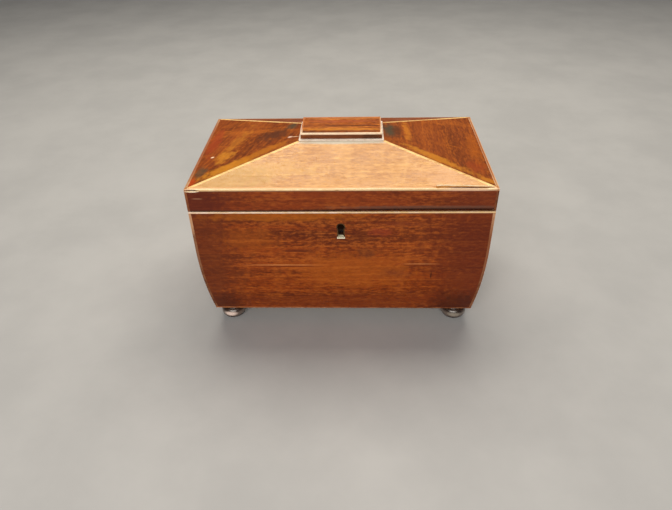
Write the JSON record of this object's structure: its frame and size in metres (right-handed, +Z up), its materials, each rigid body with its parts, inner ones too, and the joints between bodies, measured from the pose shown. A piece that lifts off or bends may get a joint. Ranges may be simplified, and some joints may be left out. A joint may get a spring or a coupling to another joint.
{
  "type": "tea caddy",
  "caption": "Sarcophagus-form mahogany tea caddy with a hinged sloped lid and raised cap, string inlay, lidded tea compartments, a mixing bowl, a link lock and bun feet.",
  "frame": {"origin": "on the surface the feet stand on, under the centre of the object's box, hinge knuckles included", "axes": "+Z up, +X to the right when facing the lock, +Y towards the hinged back, so the front faces -Y"},
  "size_m": [0.305, 0.1772, 0.2056],
  "materials": {
    "mahogany_case": "french-polished mahogany veneer, worn satin gloss",
    "mahogany_lid": "figured and faded mahogany veneer, french polished",
    "mahogany_inner": "plain mahogany, waxed",
    "secondary_wood": "unpolished pine",
    "boxwood_string": "pale boxwood line inlay under polish",
    "ebonised_wood": "dark stained turned wood, polished",
    "brass": "aged satin brass",
    "escutcheon_brass": "worn bright brass",
    "steel": "dull steel",
    "tin_foil": "crinkled tin foil",
    "turned_bone": "turned bone",
    "clear_glass": "clear blown glass",
    "lining_paper": "faded blue lining paper"
  },
  "bodies": {
    "case": {"back_wall": "mahogany_case", "base_board": "secondary_wood", "base_stringing": "boxwood_string", "bowl_floor_board": "secondary_wood", "bowl_floor_cleats": "secondary_wood", "bowl_ring_board": "mahogany_inner", "case_corner_stringing": "boxwood_string", "foil_lining_left": "tin_foil", "foil_lining_right": "tin_foil", "foot_back_left": "ebonised_wood", "foot_back_right": "ebonised_wood", "foot_front_left": "ebonised_wood", "foot_front_right": "ebonised_wood", "front_wall": "mahogany_case", "hinge_box_screws": "brass", "hinge_left_box_leaf": "brass", "hinge_left_pin": "steel", "hinge_right_box_leaf": "brass", "hinge_right_pin": "steel", "keyhole_escutcheon": "escutcheon_brass", "ledges_bowl_well": "mahogany_inner", "ledges_left_cell": "mahogany_inner", "ledges_right_cell": "mahogany_inner", "left_wall": "mahogany_case", "lock_case": "brass", "lock_cover": "steel", "lock_drill_pin": "steel", "lock_screws": "brass", "partition_left": "mahogany_inner", "partition_right": "mahogany_inner", "right_wall": "mahogany_case", "rim_stringing": "boxwood_string"},
    "lid": {"cap_base_fillet": "boxwood_string", "cap_block": "mahogany_lid", "cap_screws": "steel", "cap_stringing": "boxwood_string", "eave_stringing": "boxwood_string", "hinge_left_lid_leaf": "brass", "hinge_lid_screws": "brass", "hinge_right_lid_leaf": "brass", "hip_stringing": "boxwood_string", "lid_back_rail": "mahogany_lid", "lid_back_slope": "mahogany_lid", "lid_corner_stringing": "boxwood_string", "lid_crown_board": "secondary_wood", "lid_front_rail": "mahogany_lid", "lid_front_slope": "mahogany_lid", "lid_left_rail": "mahogany_lid", "lid_left_slope": "mahogany_lid", "lid_lining_board": "lining_paper", "lid_right_rail": "mahogany_lid", "lid_right_slope": "mahogany_lid", "link_plate": "brass", "link_screws": "brass"},
    "left_inner_lid": {"inner_lid_left": "mahogany_inner", "inner_lid_knob_left": "turned_bone"},
    "right_inner_lid": {"inner_lid_right": "mahogany_inner", "inner_lid_knob_right": "turned_bone"},
    "bowl": {"mixing_bowl": "clear_glass"},
    "bolt": {"lock_bolt": "steel"}
  },
  "joints": [
    {"name": "lid_hinge", "type": "hinge", "parent": "case", "child": "lid", "pos_m": [0, 0.0864, 0.1521], "axis": [-1, 0, 0], "range_deg": [0, 100]},
    {"name": "left_inner_lid_lift", "type": "slide", "parent": "case", "child": "left_inner_lid", "axis": [0, 0, 1], "range_m": [0, 0.07]},
    {"name": "right_inner_lid_lift", "type": "slide", "parent": "case", "child": "right_inner_lid", "axis": [0, 0, 1], "range_m": [0, 0.07]},
    {"name": "bowl_lift", "type": "slide", "parent": "case", "child": "bowl", "axis": [0, 0, 1], "range_m": [0, 0.096]},
    {"name": "bolt_throw", "type": "slide", "parent": "case", "child": "bolt", "axis": [1, 0, 0], "range_m": [0, 0.004]}
  ],
  "couplings": [
    {"joint": "left_inner_lid_lift", "follows": "lid_hinge", "m_per_rad": 0.04},
    {"joint": "right_inner_lid_lift", "follows": "lid_hinge", "m_per_rad": 0.04},
    {"joint": "bowl_lift", "follows": "lid_hinge", "m_per_rad": 0.055}
  ]
}
